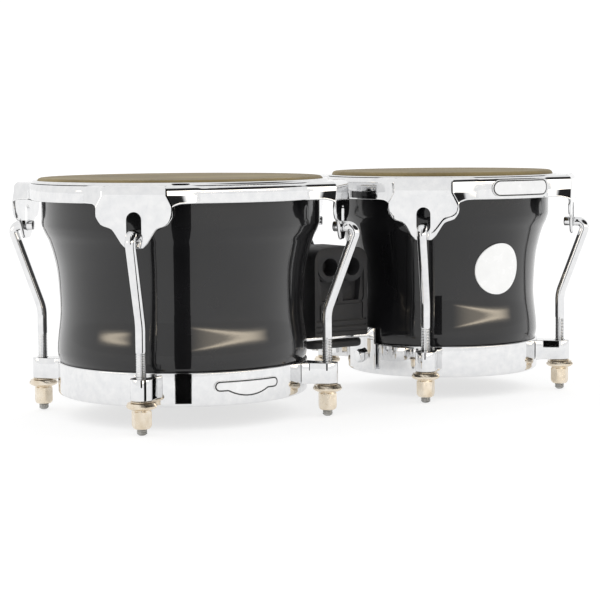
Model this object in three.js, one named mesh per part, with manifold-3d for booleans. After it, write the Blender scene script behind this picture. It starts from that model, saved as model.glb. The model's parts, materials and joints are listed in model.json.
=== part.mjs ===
// Bongo drums. A large drum (hembra) and a small drum (macho) stand in a row along X, each with a
// waisted shell, a skin head, a lugged counter rim, a bottom ring and four hook-ended tuning rods.
// A moulded centre block on a steel mounting plate joins the two bottom rings.
// Millimetres, +Z up. The rod ends rest on z = 0, and the origin is under the middle of the row.
import * as THREE from "three";
import { mergeVertices } from "three/addons/utils/BufferGeometryUtils.js";
import Module from "manifold-3d";

const wasm = await Module();
wasm.setup();

// ---- Driving dimensions ----

const GAP = 0.3; // left between neighbouring pieces
const RUNNING_GAP = 0.6; // left round pieces that slide past each other
const RING_SIDES = 36; // sides of every round shell, hoop and ring
const BORE_SIDES = 12;

const DRUM_SPACING = 257.8; // between the two drum axes
const RING_BASE = 18.1; // underside of the bottom rings above the rod ends

// Radii of each drum. Heights from here on are above the underside of the bottom ring.
const HEMBRA = {
  name: "hembra",
  shellTop: 109.1,
  waist: 95.8,
  bulge: 98.5,
  ring: 98.4,
  collar: 112.3,
  band: 119,
  lugPlate: 129.5,
  rodCircle: 116.5,
  bandBottom: 152.2,
  earRoot: 44, // half-width where an ear leaves the band
  nutTurns: [8.6, 22, 41, 30], // degrees, how far each nut happens to be turned
};
const MACHO = {
  name: "macho",
  shellTop: 91.1,
  waist: 78.5,
  bulge: 82,
  ring: 81.9,
  collar: 94.7,
  band: 101.5,
  lugPlate: 112.2,
  rodCircle: 101.2,
  bandBottom: 147.3,
  earRoot: 41,
  nutTurns: [20, 47, 12, 36],
};
const LUG_ANGLES = [-135, -45, 45, 135]; // degrees from +X, front left first

const HEAD_TOP = 170.5;
const SKIN_THICKNESS = 1.5;
const SHELL_TOP = HEAD_TOP - SKIN_THICKNESS - GAP;
const SHELL_WALL = 5;
const BEARING_WALL = 9;
const WAIST_HEIGHT = 68;
const SKIN_HEM = 157; // lower edge of the skin outside the shell

// How far the shell has swollen at each height: from the waist to the bulge below it, and from the
// waist to the straight top above it.
const BULGE_SECTION = [
  [29, 0.7],
  [38, 1],
  [50, 0.55],
  [58, 0.18],
];
const FLARE_SECTION = [
  [82, 0.045],
  [97, 0.15],
  [110, 0.36],
  [120, 0.6],
  [128, 0.88],
  [134, 1],
];

const RING_HEIGHT = 25.9;
const RING_WALL = 2.2;
const RING_LIP = 10; // how far the ring turns in under the shell

const RIM_TOP = 165.5;
const RIM_WALL = 2.4;
const LIP_HEIGHT = 3; // of the rolled lip round the rim's mouth, above the rim's top
const LIP_WIDTH = 3.2;
const HOOP_BOTTOM = 156;

const EAR_DROP = 32; // the ears hang this far below the rim band
const EAR_FLAT = 24.5; // half-width of the flat plate of an ear, at the band
const EAR_FLAT_BELOW = 33.5; // half-width of the plate where its sides stop leaning
const EAR_LEAN_TOP = 6.5; // above the band's lower edge, where the sides start to lean
const EAR_LEAN_BOTTOM = -9;
const SLOT_WIDTH = 11.4;
const SLOT_BOTTOM = 5.8; // above the lower edge of the ear
const SLOT_TOP = 26.7;
// Half of an ear's lower edge: distance from its middle, and height above its lowest point.
const EAR_EDGE = [
  [5.5, 0],
  [9.6, 3.2],
  [13.4, 9],
  [17.1, 14],
  [25, 17.2],
  [29, 23],
  [33, 29.4],
  [38, 32],
];

const ROD_RADIUS = 4;
const ROD_SIDES = 10;
const ROD_BORE = 4.5;
const ROD_BEND = 64; // height of the lower bend
const ROD_BEND_REACH = 9; // how far each side of it the bend runs
const HOOK_REACH = 9.2; // rod centre outside the ear plate at the top of the slant
const HOOK_RADIUS = 5.4;
const HOOK_TAIL = 7; // straight end of the hook, through the slot

const LUG_BOTTOM = 7.9;
const LUG_TOP = 24.3;
const LUG_NOSE = 8.3; // radius of the bracket round the rod
const LUG_FOOT = 10.8; // half-width of the bracket at the ring
const WASHER_RADIUS = 8.2;
const WASHER_THICKNESS = 1;
const FLANGE_RADIUS = 11.4;
const FLANGE_THICKNESS = 5;
const HEX_ACROSS_FLATS = 13;
const NUT_BOTTOM = -12.8;

const BLOCK_WIDTH = 52;
const BLOCK_DEPTH = 50;
const BLOCK_BOTTOM = 36;
const BLOCK_TOP = 108.8;
const BLOCK_CORNER = 11;
const BLOCK_MIDDLE = 135.4; // from the hembra's axis
const SOCKET_RADIUS = 7.4;
const SOCKET_HEIGHT = 93;
const SOCKET_SPACING = 21.8;
const SOCKET_DEPTH = 18;
const SOCKET_SIDES = 16;
const POCKET_WIDTH = 15.5;
const POCKET_BOTTOM = 65;
const POCKET_TOP = 79.5;
const POCKET_SPACING = 20.5;
const POCKET_DEPTH = 8;
const GROOVE_DEPTH = 1.2;
const GROOVE_END = 3; // from the side of the block
const GROOVES = [
  [64, 1.4],
  [48.2, 1.4],
  [43.6, 1.4],
  [39.4, 1.2],
]; // height and width of the lines across each face

const PLATE_THICKNESS = 3;
const PLATE_TOP = BLOCK_BOTTOM - GAP;
const PLATE_HALF_DEPTH = 17;
const PLATE_LEG_BOTTOM = 4;
const FLARE_RISE = 4; // how far each end of the plate flares up at its leg
const FLARE_RUN = 6;
const CLAMP_HEIGHT = 6.6;
const CLAMP_LENGTH = 54;
const CLAMP_DEPTH = 40;
const BOLT_RADIUS = 3;
const BOLT_HEAD_RADIUS = 5.8;
const BOLT_HEAD = 4.5;
const BLOCK_BOLT_SPREAD = 11; // each side of the middle, along Y
const BLOCK_BOLT_DEPTH = 22; // into the block
const RING_BOLT_HEIGHT = 15;

const BADGE_RADIUS = 21.3;
const BADGE_ACROSS = -3; // from the middle of the drum, as seen from the front
const BADGE_SIDES = 24;
const BADGE_HEIGHT = 89;
const BADGE_THICKNESS = 0.9;
// Each label is a capsule. The swell is how far the lower edge hangs below it, over a half-width.
const RIM_LABEL = { width: 60, height: 13.6, across: 5.5, up: 156.3, swell: 0, swellHalf: 0 };
const RING_LABEL = { width: 56, height: 8.4, across: 0.2, up: 15, swell: 4.4, swellHalf: 17.5 };

// ---- Materials ----

const chrome = () => new THREE.MeshStandardMaterial({ color: 0xe4e5e6, roughness: 0.08, metalness: 1 });
const nickel = () => new THREE.MeshStandardMaterial({ color: 0xd9cdb6, roughness: 0.25, metalness: 0.9 });
const lacquer = () => new THREE.MeshStandardMaterial({ color: 0x0b0b0c, roughness: 0.06, metalness: 0 });
const rawhide = () => new THREE.MeshStandardMaterial({ color: 0x98835a, roughness: 0.7, metalness: 0 });
const moulding = () => new THREE.MeshStandardMaterial({ color: 0x2c2c2e, roughness: 0.6, metalness: 0 });
const enamel = () => new THREE.MeshStandardMaterial({ color: 0xf2f2f0, roughness: 0.3, metalness: 0 });

// ---- Geometry helpers ----

function solidFrom(geometry) {
  const bare = geometry.clone();
  bare.deleteAttribute("normal");
  bare.deleteAttribute("uv");
  const merged = mergeVertices(bare, 1e-4);
  const mesh = new wasm.Mesh({
    numProp: 3,
    vertProperties: new Float32Array(merged.attributes.position.array),
    triVerts: new Uint32Array(merged.index.array),
  });
  return new wasm.Manifold(mesh);
}

function geometryFrom(solid) {
  const mesh = solid.getMesh();
  const geometry = new THREE.BufferGeometry();
  geometry.setAttribute("position", new THREE.BufferAttribute(mesh.vertProperties, 3));
  geometry.setIndex(new THREE.BufferAttribute(mesh.triVerts, 1));
  geometry.computeVertexNormals();
  return geometry;
}

// The first geometry with all the others cut away.
function cut(geometry, ...tools) {
  const solid = tools.reduce((left, tool) => left.subtract(solidFrom(tool)), solidFrom(geometry));
  return geometryFrom(solid);
}

function join(...geometries) {
  return geometryFrom(geometries.map(solidFrom).reduce((sum, solid) => sum.add(solid)));
}

function common(geometry, mask) {
  return geometryFrom(solidFrom(geometry).intersect(solidFrom(mask)));
}

// A turned solid. The section is a list of [radius, height], anticlockwise with the radius to the right.
function turned(section, sides = RING_SIDES) {
  const points = section.map(([radius, height]) => new THREE.Vector2(radius, height));
  return new THREE.LatheGeometry(points, sides).rotateX(Math.PI / 2);
}

function ringSection(inner, outer, bottom, top) {
  return [
    [inner, bottom],
    [outer, bottom],
    [outer, top],
    [inner, top],
    [inner, bottom],
  ];
}

function cylinder(radius, bottom, top, sides) {
  const height = top - bottom;
  const geometry = new THREE.CylinderGeometry(radius, radius, height, sides);
  return geometry.rotateX(Math.PI / 2).translate(0, 0, bottom + height / 2);
}

function box(x, y, z) {
  const geometry = new THREE.BoxGeometry(x[1] - x[0], y[1] - y[0], z[1] - z[0]);
  return geometry.translate((x[0] + x[1]) / 2, (y[0] + y[1]) / 2, (z[0] + z[1]) / 2);
}

// A plan outline raised from one height to another. Each arc in it has twice arcSteps sides.
function prism(outline, bottom, top, arcSteps = 3) {
  const shape = outline instanceof THREE.Shape ? outline : new THREE.Shape(outline);
  const geometry = new THREE.ExtrudeGeometry(shape, {
    depth: top - bottom,
    bevelEnabled: false,
    curveSegments: arcSteps,
  });
  return geometry.translate(0, 0, bottom);
}

// A shape drawn as seen from the front, X across and Z up, that runs from one Y to another.
function frontPrism(shape, front, back, arcSteps = 3) {
  return prism(shape, 0, back - front, arcSteps)
    .rotateX(Math.PI / 2)
    .translate(0, back, 0);
}

// A shape drawn on an ear, with Y across and Z up, that runs outwards along X.
function earPrism(shape, inner, outer) {
  const geometry = prism(shape, 0, outer - inner);
  geometry.rotateX(Math.PI / 2).rotateZ(Math.PI / 2);
  return geometry.translate(inner, 0, 0);
}

function disc(radius, across, up) {
  return new THREE.Shape().absarc(across, up, radius, 0, 2 * Math.PI, false);
}

function capsule(width, height, across, up) {
  const radius = Math.min(width, height) / 2;
  const reachX = width / 2 - radius;
  const reachY = height / 2 - radius;
  const shape = new THREE.Shape();
  shape.absarc(across + reachX, up + reachY, radius, 0, Math.PI / 2, false);
  shape.absarc(across - reachX, up + reachY, radius, Math.PI / 2, Math.PI, false);
  shape.absarc(across - reachX, up - reachY, radius, Math.PI, 1.5 * Math.PI, false);
  shape.absarc(across + reachX, up - reachY, radius, 1.5 * Math.PI, 2 * Math.PI, false);
  return shape;
}

// A closed body over plan outlines of equally many points, each at its own height, lowest first.
function lofted(levels) {
  const width = levels[0].outline.length;
  const positions = levels.flatMap(({ outline, height }) => outline.flatMap(({ x, y }) => [x, y, height]));
  const indices = [];
  for (let level = 0; level < levels.length - 1; level += 1) {
    for (let side = 0; side < width; side += 1) {
      const here = level * width + side;
      const beside = level * width + ((side + 1) % width);
      indices.push(here, beside, beside + width, here, beside + width, here + width);
    }
  }
  const last = (levels.length - 1) * width;
  for (const [a, b, c] of THREE.ShapeUtils.triangulateShape(levels[0].outline, [])) {
    indices.push(a, c, b);
  }
  for (const [a, b, c] of THREE.ShapeUtils.triangulateShape(levels.at(-1).outline, [])) {
    indices.push(last + a, last + b, last + c);
  }
  const geometry = new THREE.BufferGeometry();
  geometry.setAttribute("position", new THREE.Float32BufferAttribute(positions, 3));
  return geometry.setIndex(indices);
}

function named(name, geometry, material) {
  const mesh = new THREE.Mesh(geometry, material);
  mesh.name = name;
  return mesh;
}

// ---- Shell, skin, hoop and bottom ring ----

function shellOutside(drum) {
  const foot = drum.ring - RING_WALL - GAP;
  const towards = (radius) => ([height, part]) => [drum.waist + part * (radius - drum.waist), height];
  const bulge = BULGE_SECTION.map(towards(drum.bulge));
  const flare = FLARE_SECTION.map(towards(drum.shellTop));
  return [
    [foot, RING_WALL + GAP],
    [foot, RING_HEIGHT + GAP],
    ...bulge,
    [drum.waist, WAIST_HEIGHT],
    ...flare,
    [drum.shellTop, SHELL_TOP - 5.5],
    [drum.shellTop - 1, SHELL_TOP - 1.6],
    [drum.shellTop - 3.5, SHELL_TOP],
  ];
}

function shellGeometry(drum) {
  const foot = drum.ring - RING_WALL - GAP;
  const inside = [
    [drum.shellTop - BEARING_WALL, SHELL_TOP - 2],
    [drum.shellTop - BEARING_WALL, FLARE_SECTION.at(-1)[0]],
    [drum.waist - SHELL_WALL, FLARE_SECTION[1][0]],
    [drum.waist - SHELL_WALL, WAIST_HEIGHT - 10],
    [foot - SHELL_WALL, RING_HEIGHT],
    [foot - SHELL_WALL, RING_WALL + GAP],
  ];
  const outside = shellOutside(drum);
  return turned([...outside, ...inside, outside[0]]);
}

function skinGeometry(drum) {
  const under = HEAD_TOP - SKIN_THICKNESS;
  return turned([
    [0, under],
    [drum.shellTop - 3.3, under],
    [drum.shellTop - 0.6, under - 1.7],
    [drum.shellTop + GAP, under - 6],
    [drum.shellTop + GAP, SKIN_HEM],
    [drum.collar, SKIN_HEM],
    [drum.collar, RIM_TOP],
    [drum.collar - 1.9, RIM_TOP + 2.9],
    [drum.collar - 5.6, HEAD_TOP],
    [0, HEAD_TOP],
  ]);
}

function fleshHoopGeometry(drum) {
  const inner = drum.collar + RUNNING_GAP;
  const outer = drum.band - RIM_WALL - GAP;
  return turned(ringSection(inner, outer, HOOP_BOTTOM, RIM_TOP - RIM_WALL - GAP));
}

function bottomRingGeometry(drum) {
  const inner = drum.ring - RING_WALL;
  return turned([
    [inner - RING_LIP, 0],
    [drum.ring, 0],
    [drum.ring, RING_HEIGHT],
    [inner, RING_HEIGHT],
    [inner, RING_WALL],
    [inner - RING_LIP, RING_WALL],
    [inner - RING_LIP, 0],
  ]);
}

// ---- Counter rim ----

// The rim's plan: an arc between the lugs, and a flat plate with slanted sides at each lug.
function rimOutline(band, plate, flat, root) {
  const points = [];
  const arcSteps = 6;
  const rootAngle = Math.asin(root / band);
  LUG_ANGLES.forEach((degrees, index) => {
    const angle = THREE.MathUtils.degToRad(degrees);
    const outwards = new THREE.Vector2(Math.cos(angle), Math.sin(angle));
    const along = new THREE.Vector2(-outwards.y, outwards.x);
    points.push(outwards.clone().multiplyScalar(plate).addScaledVector(along, -flat));
    points.push(outwards.clone().multiplyScalar(plate).addScaledVector(along, flat));
    const nextDegrees = index < LUG_ANGLES.length - 1 ? LUG_ANGLES[index + 1] : LUG_ANGLES[0] + 360;
    const start = angle + rootAngle;
    const end = THREE.MathUtils.degToRad(nextDegrees) - rootAngle;
    for (let step = 0; step <= arcSteps; step += 1) {
      const turn = start + ((end - start) * step) / arcSteps;
      points.push(new THREE.Vector2(band * Math.cos(turn), band * Math.sin(turn)));
    }
  });
  return points;
}

// The body inside the rim's plan, set in by a wall. The sides of the ears lean out towards the foot.
function rimBody(drum, wall, bottom, top) {
  const cornerPull = 0.4 * wall;
  const level = (height, flat) => {
    const root = drum.earRoot - cornerPull;
    return { height, outline: rimOutline(drum.band - wall, drum.lugPlate - wall, flat - cornerPull, root) };
  };
  return lofted([
    level(bottom, EAR_FLAT_BELOW),
    level(drum.bandBottom + EAR_LEAN_BOTTOM, EAR_FLAT_BELOW),
    level(drum.bandBottom + EAR_LEAN_TOP, EAR_FLAT),
    level(top, EAR_FLAT),
  ]);
}

function earShape(drum, bottom, top) {
  const right = EAR_EDGE.map(([across, up]) => new THREE.Vector2(across, bottom + up));
  const left = EAR_EDGE.map(([across, up]) => new THREE.Vector2(-across, bottom + up)).reverse();
  const corners = [new THREE.Vector2(drum.earRoot, top), new THREE.Vector2(-drum.earRoot, top)];
  return new THREE.Shape([...right, ...corners, ...left]);
}

function rimGeometry(drum) {
  const earBottom = drum.bandBottom - EAR_DROP;
  const mouth = drum.collar + RUNNING_GAP;
  const cap = cut(
    rimBody(drum, 0, earBottom, RIM_TOP),
    rimBody(drum, RIM_WALL, earBottom - 1, RIM_TOP - RIM_WALL),
    cylinder(mouth, earBottom, RIM_TOP + 1, RING_SIDES),
  );
  const ears = LUG_ANGLES.map((degrees) => {
    const shape = earShape(drum, earBottom, drum.bandBottom + 1);
    const ear = earPrism(shape, drum.lugPlate - 30, drum.lugPlate + 5);
    return ear.rotateZ(THREE.MathUtils.degToRad(degrees));
  });
  const kept = join(cylinder(drum.lugPlate + 20, drum.bandBottom, RIM_TOP + 1, RING_SIDES), ...ears);
  const slots = LUG_ANGLES.map((degrees) => {
    const middle = earBottom + (SLOT_BOTTOM + SLOT_TOP) / 2;
    const slot = capsule(SLOT_WIDTH, SLOT_TOP - SLOT_BOTTOM, 0, middle);
    return earPrism(slot, drum.lugPlate - 10, drum.lugPlate + 5).rotateZ(THREE.MathUtils.degToRad(degrees));
  });
  return cut(join(common(cap, kept), rimLip(mouth)), ...slots);
}

function rimLip(mouth) {
  return turned([
    [mouth, RIM_TOP - 1],
    [mouth + LIP_WIDTH, RIM_TOP - 1],
    [mouth + LIP_WIDTH, RIM_TOP + LIP_HEIGHT - 1],
    [mouth + LIP_WIDTH - 1, RIM_TOP + LIP_HEIGHT],
    [mouth + 1, RIM_TOP + LIP_HEIGHT],
    [mouth, RIM_TOP + LIP_HEIGHT - 1],
    [mouth, RIM_TOP - 1],
  ]);
}

// ---- Tuning hardware, drawn with X outwards from the drum's axis ----

// A path through hand-set points, sampled exactly at them.
class RodPath extends THREE.CatmullRomCurve3 {
  getUtoTmapping(u) {
    return u;
  }
}

function rodGeometry(drum) {
  const tailHeight = drum.bandBottom - EAR_DROP + SLOT_BOTTOM + ROD_RADIUS + GAP;
  const hookX = drum.lugPlate + HOOK_REACH - HOOK_RADIUS;
  const hookHeight = tailHeight - HOOK_RADIUS;
  const slantTop = new THREE.Vector3(drum.lugPlate + HOOK_REACH, 0, hookHeight - 1);
  const bend = new THREE.Vector3(drum.rodCircle, 0, ROD_BEND);
  const below = new THREE.Vector3(drum.rodCircle, 0, ROD_BEND - ROD_BEND_REACH);
  const above = bend.clone().lerp(slantTop, ROD_BEND_REACH / bend.distanceTo(slantTop));
  const points = [new THREE.Vector3(drum.rodCircle, 0, -RING_BASE), new THREE.Vector3(drum.rodCircle, 0, 30)];
  const bendCurve = new THREE.QuadraticBezierCurve3(below, bend, above);
  points.push(...bendCurve.getPoints(4));
  points.push(above.clone().lerp(slantTop, 0.9));
  for (let turn = 0; turn <= 90; turn += 22.5) {
    const angle = THREE.MathUtils.degToRad(turn);
    const x = hookX + HOOK_RADIUS * Math.cos(angle);
    points.push(new THREE.Vector3(x, 0, hookHeight + HOOK_RADIUS * Math.sin(angle)));
  }
  points.push(new THREE.Vector3(hookX - HOOK_TAIL / 2, 0, tailHeight));
  points.push(new THREE.Vector3(drum.lugPlate - HOOK_TAIL, 0, tailHeight));
  return new THREE.ExtrudeGeometry(disc(ROD_RADIUS, 0, 0), {
    extrudePath: new RodPath(points),
    steps: points.length - 1,
    curveSegments: ROD_SIDES / 2,
    bevelEnabled: false,
  });
}

function lugBracketGeometry(drum) {
  const ringFace = drum.ring + GAP;
  const footX = Math.sqrt(ringFace ** 2 - LUG_FOOT ** 2);
  const shape = new THREE.Shape();
  shape.absarc(drum.rodCircle, 0, LUG_NOSE, -Math.PI / 2, Math.PI / 2, false);
  shape.lineTo(ringFace + 5, LUG_NOSE);
  shape.lineTo(footX, LUG_FOOT);
  const footAngle = Math.asin(LUG_FOOT / ringFace);
  shape.absarc(0, 0, ringFace, footAngle, -footAngle, true);
  shape.lineTo(ringFace + 5, -LUG_NOSE);
  const bore = cylinder(ROD_BORE, LUG_BOTTOM - 1, LUG_TOP + 1, BORE_SIDES).translate(drum.rodCircle, 0, 0);
  return cut(prism(shape, LUG_BOTTOM, LUG_TOP), bore);
}

function washerGeometry() {
  const top = LUG_BOTTOM - GAP;
  return turned(ringSection(ROD_BORE, WASHER_RADIUS, top - WASHER_THICKNESS, top), 16);
}

function nutGeometry() {
  const top = LUG_BOTTOM - WASHER_THICKNESS - 2 * GAP;
  const flangeBottom = top - FLANGE_THICKNESS;
  const hexRadius = HEX_ACROSS_FLATS / 2 / Math.cos(Math.PI / 6);
  const flange = turned(
    [
      [0, flangeBottom],
      [FLANGE_RADIUS - 2.4, flangeBottom],
      [FLANGE_RADIUS, top - 2.6],
      [FLANGE_RADIUS, top],
      [0, top],
    ],
    16,
  );
  const hex = cylinder(hexRadius, NUT_BOTTOM, top - 1, 6);
  return cut(join(flange, hex), cylinder(ROD_BORE, NUT_BOTTOM - 1, top + 1, BORE_SIDES));
}

// ---- Centre block and its mounting ----

function blockGeometry() {
  const half = BLOCK_WIDTH / 2;
  const shape = new THREE.Shape();
  shape.moveTo(-half, BLOCK_BOTTOM);
  shape.lineTo(half, BLOCK_BOTTOM);
  shape.absarc(half - BLOCK_CORNER, BLOCK_TOP - BLOCK_CORNER, BLOCK_CORNER, 0, Math.PI / 2, false);
  shape.absarc(BLOCK_CORNER - half, BLOCK_TOP - BLOCK_CORNER, BLOCK_CORNER, Math.PI / 2, Math.PI, false);
  const face = BLOCK_DEPTH / 2;
  const tools = [];
  for (const side of [-1, 1]) {
    const cutFrom = (depth) => (side < 0 ? [-face - 1, depth - face] : [face - depth, face + 1]);
    const pocketY = cutFrom(POCKET_DEPTH);
    for (const hand of [-1, 1]) {
      const socket = disc(SOCKET_RADIUS, (hand * SOCKET_SPACING) / 2, SOCKET_HEIGHT);
      tools.push(frontPrism(socket, ...cutFrom(SOCKET_DEPTH), SOCKET_SIDES / 2));
      const pocketX = (hand * POCKET_SPACING) / 2;
      const pocketEdges = [pocketX - POCKET_WIDTH / 2, pocketX + POCKET_WIDTH / 2];
      tools.push(box(pocketEdges, pocketY, [POCKET_BOTTOM, POCKET_TOP]));
    }
    const grooveX = [GROOVE_END - half, half - GROOVE_END];
    for (const [height, width] of GROOVES) {
      tools.push(box(grooveX, cutFrom(GROOVE_DEPTH), [height, height + width]));
    }
  }
  const boreTop = BLOCK_BOTTOM + BLOCK_BOLT_DEPTH + 1;
  for (const hand of [-1, 1]) {
    const bore = cylinder(BOLT_RADIUS + GAP, BLOCK_BOTTOM - 1, boreTop, BORE_SIDES);
    tools.push(bore.translate(0, hand * BLOCK_BOLT_SPREAD, 0));
  }
  return cut(frontPrism(shape, -face, face), ...tools);
}

// The plate runs under the block and turns down against both rings. X is from the block's middle.
function mountingPlateGeometry(leftEnd, rightEnd) {
  const bottom = PLATE_TOP - PLATE_THICKNESS;
  const shape = new THREE.Shape();
  shape.moveTo(leftEnd, PLATE_LEG_BOTTOM);
  shape.lineTo(leftEnd + PLATE_THICKNESS, PLATE_LEG_BOTTOM);
  shape.lineTo(leftEnd + PLATE_THICKNESS, bottom);
  shape.lineTo(rightEnd - PLATE_THICKNESS, bottom);
  shape.lineTo(rightEnd - PLATE_THICKNESS, PLATE_LEG_BOTTOM);
  shape.lineTo(rightEnd, PLATE_LEG_BOTTOM);
  shape.lineTo(rightEnd, PLATE_TOP + FLARE_RISE);
  shape.lineTo(rightEnd - PLATE_THICKNESS, PLATE_TOP + FLARE_RISE);
  shape.lineTo(rightEnd - PLATE_THICKNESS - FLARE_RUN, PLATE_TOP);
  shape.lineTo(leftEnd + PLATE_THICKNESS + FLARE_RUN, PLATE_TOP);
  shape.lineTo(leftEnd + PLATE_THICKNESS, PLATE_TOP + FLARE_RISE);
  shape.lineTo(leftEnd, PLATE_TOP + FLARE_RISE);
  const bores = [];
  for (const hand of [-1, 1]) {
    const bore = cylinder(BOLT_RADIUS + GAP, bottom - 1, PLATE_TOP + 1, BORE_SIDES);
    bores.push(bore.translate(0, hand * BLOCK_BOLT_SPREAD, 0));
  }
  for (const x of [leftEnd, rightEnd - PLATE_THICKNESS]) {
    bores.push(sidewaysCylinder(BOLT_RADIUS + GAP, x - 1, x + PLATE_THICKNESS + 1, BORE_SIDES));
  }
  return cut(frontPrism(shape, -PLATE_HALF_DEPTH, PLATE_HALF_DEPTH), ...bores);
}

function sidewaysCylinder(radius, left, right, sides) {
  const lying = new THREE.CylinderGeometry(radius, radius, right - left, sides).rotateZ(Math.PI / 2);
  return lying.translate((left + right) / 2, 0, RING_BOLT_HEIGHT);
}

function clampBarGeometry() {
  const top = PLATE_TOP - PLATE_THICKNESS - GAP;
  const outline = capsule(CLAMP_LENGTH, CLAMP_DEPTH / 2, 0, 0);
  const wide = capsule(CLAMP_LENGTH - 8, CLAMP_DEPTH, 0, 0);
  const bar = join(prism(outline, top - CLAMP_HEIGHT, top), prism(wide, top - CLAMP_HEIGHT, top));
  const bores = [-1, 1].map((hand) => {
    const bore = cylinder(BOLT_RADIUS + GAP, top - CLAMP_HEIGHT - 1, top + 1, BORE_SIDES);
    return bore.translate(0, hand * BLOCK_BOLT_SPREAD, 0);
  });
  return cut(bar, ...bores);
}

function blockBoltGeometry() {
  const headTop = PLATE_TOP - PLATE_THICKNESS - 2 * GAP - CLAMP_HEIGHT;
  const head = cylinder(BOLT_HEAD_RADIUS, headTop - BOLT_HEAD, headTop, 6);
  return join(head, cylinder(BOLT_RADIUS, headTop - 1, BLOCK_BOTTOM + BLOCK_BOLT_DEPTH, BORE_SIDES));
}

// A bolt through a leg of the plate, its head in the space between the legs. headSide is +1 when the
// head looks along +X.
function ringBoltGeometry(legFace, headSide) {
  const headStart = legFace + headSide * GAP;
  const headEnd = headStart + headSide * BOLT_HEAD;
  const tip = legFace - headSide * PLATE_THICKNESS;
  const span = (a, b) => [Math.min(a, b), Math.max(a, b)];
  const head = sidewaysCylinder(BOLT_HEAD_RADIUS, ...span(headStart, headEnd), 6);
  const shank = sidewaysCylinder(BOLT_RADIUS, ...span(tip, headEnd), BORE_SIDES);
  return join(head, shank);
}

// ---- Badge and labels, each a thin plate that follows the round surface behind it ----

function shellBadgeGeometry(drum) {
  const wall = shellOutside(drum).filter(([, height]) => height >= WAIST_HEIGHT - 10 && height <= 120);
  const back = wall.map(([radius, height]) => [radius + GAP, height]).reverse();
  const front = wall.map(([radius, height]) => [radius + GAP + BADGE_THICKNESS, height]);
  const wallLayer = turned([front.at(-1), ...back, ...front]);
  const outline = disc(BADGE_RADIUS, BADGE_ACROSS, BADGE_HEIGHT);
  const facing = frontPrism(outline, -drum.shellTop - 5, 0, BADGE_SIDES / 2);
  return common(wallLayer, facing);
}

function labelGeometry(radius, label) {
  const bottom = label.up - label.height - label.swell;
  const top = label.up + label.height;
  const layer = turned(ringSection(radius + GAP, radius + GAP + BADGE_THICKNESS, bottom, top), RING_SIDES);
  const plain = frontPrism(capsule(label.width, label.height, label.across, label.up), -radius - 5, 0);
  return common(layer, label.swell ? join(plain, swellPrism(radius, label)) : plain);
}

function swellPrism(radius, label) {
  const arcRadius = (label.swellHalf ** 2 + label.swell ** 2) / (2 * label.swell);
  const lowest = label.up - label.height / 2 - label.swell;
  const spread = Math.asin(label.swellHalf / arcRadius);
  const shape = new THREE.Shape();
  shape.absarc(label.across, lowest + arcRadius, arcRadius, -Math.PI / 2 - spread, spread - Math.PI / 2, false);
  shape.lineTo(label.across + label.swellHalf, label.up);
  shape.lineTo(label.across - label.swellHalf, label.up);
  return frontPrism(shape, -radius - 5, 0, 5);
}

// ---- Assembly ----

function buildDrum(drum, x) {
  const group = new THREE.Group();
  group.position.set(x, 0, RING_BASE);
  group.add(
    named(drum.name + "_shell", shellGeometry(drum), lacquer()),
    named(drum.name + "_skin", skinGeometry(drum), rawhide()),
    named(drum.name + "_flesh_hoop", fleshHoopGeometry(drum), chrome()),
    named(drum.name + "_rim", rimGeometry(drum), chrome()),
    named(drum.name + "_bottom_ring", bottomRingGeometry(drum), chrome()),
  );
  const rod = rodGeometry(drum);
  const bracket = lugBracketGeometry(drum);
  const washer = washerGeometry();
  const nut = nutGeometry();
  LUG_ANGLES.forEach((degrees, index) => {
    const lug = new THREE.Group();
    lug.rotation.z = THREE.MathUtils.degToRad(degrees);
    const number = index + 1;
    const washerMesh = named(`${drum.name}_washer_${number}`, washer, nickel());
    const nutMesh = named(`${drum.name}_tuning_nut_${number}`, nut, nickel());
    washerMesh.position.x = drum.rodCircle;
    nutMesh.position.x = drum.rodCircle;
    nutMesh.rotation.z = THREE.MathUtils.degToRad(drum.nutTurns[index]);
    lug.add(
      named(`${drum.name}_tuning_rod_${number}`, rod, chrome()),
      named(`${drum.name}_lug_bracket_${number}`, bracket, chrome()),
      washerMesh,
      nutMesh,
    );
    group.add(lug);
  });
  return group;
}

function buildCentre(middleX) {
  const group = new THREE.Group();
  group.position.set(middleX, 0, RING_BASE);
  const leftEnd = HEMBRA.ring + GAP - BLOCK_MIDDLE;
  const rightEnd = DRUM_SPACING - MACHO.ring - GAP - BLOCK_MIDDLE;
  group.add(
    named("centre_block", blockGeometry(), moulding()),
    named("mounting_plate", mountingPlateGeometry(leftEnd, rightEnd), chrome()),
    named("clamp_bar", clampBarGeometry(), moulding()),
    named("hembra_ring_bolt", ringBoltGeometry(leftEnd + PLATE_THICKNESS, 1), chrome()),
    named("macho_ring_bolt", ringBoltGeometry(rightEnd - PLATE_THICKNESS, -1), chrome()),
  );
  const bolt = blockBoltGeometry();
  for (const [name, hand] of [["block_bolt_front", -1], ["block_bolt_rear", 1]]) {
    const mesh = named(name, bolt, chrome());
    mesh.position.y = hand * BLOCK_BOLT_SPREAD;
    group.add(mesh);
  }
  return group;
}

const rowMiddle = (DRUM_SPACING + MACHO.band - HEMBRA.band) / 2;
const hembraX = -rowMiddle;
const machoX = DRUM_SPACING - rowMiddle;

const hembra = buildDrum(HEMBRA, hembraX);
hembra.add(named("hembra_ring_label", labelGeometry(HEMBRA.ring, RING_LABEL), enamel()));

const macho = buildDrum(MACHO, machoX);
macho.add(named("macho_shell_badge", shellBadgeGeometry(MACHO), enamel()));
macho.add(named("macho_rim_label", labelGeometry(MACHO.band + GAP, RIM_LABEL), enamel()));

const bongos = new THREE.Group();
bongos.add(hembra, macho, buildCentre(BLOCK_MIDDLE - rowMiddle));

export default bongos;
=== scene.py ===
import json
import math

import bmesh
import bpy
from mathutils import Matrix, Vector

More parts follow.
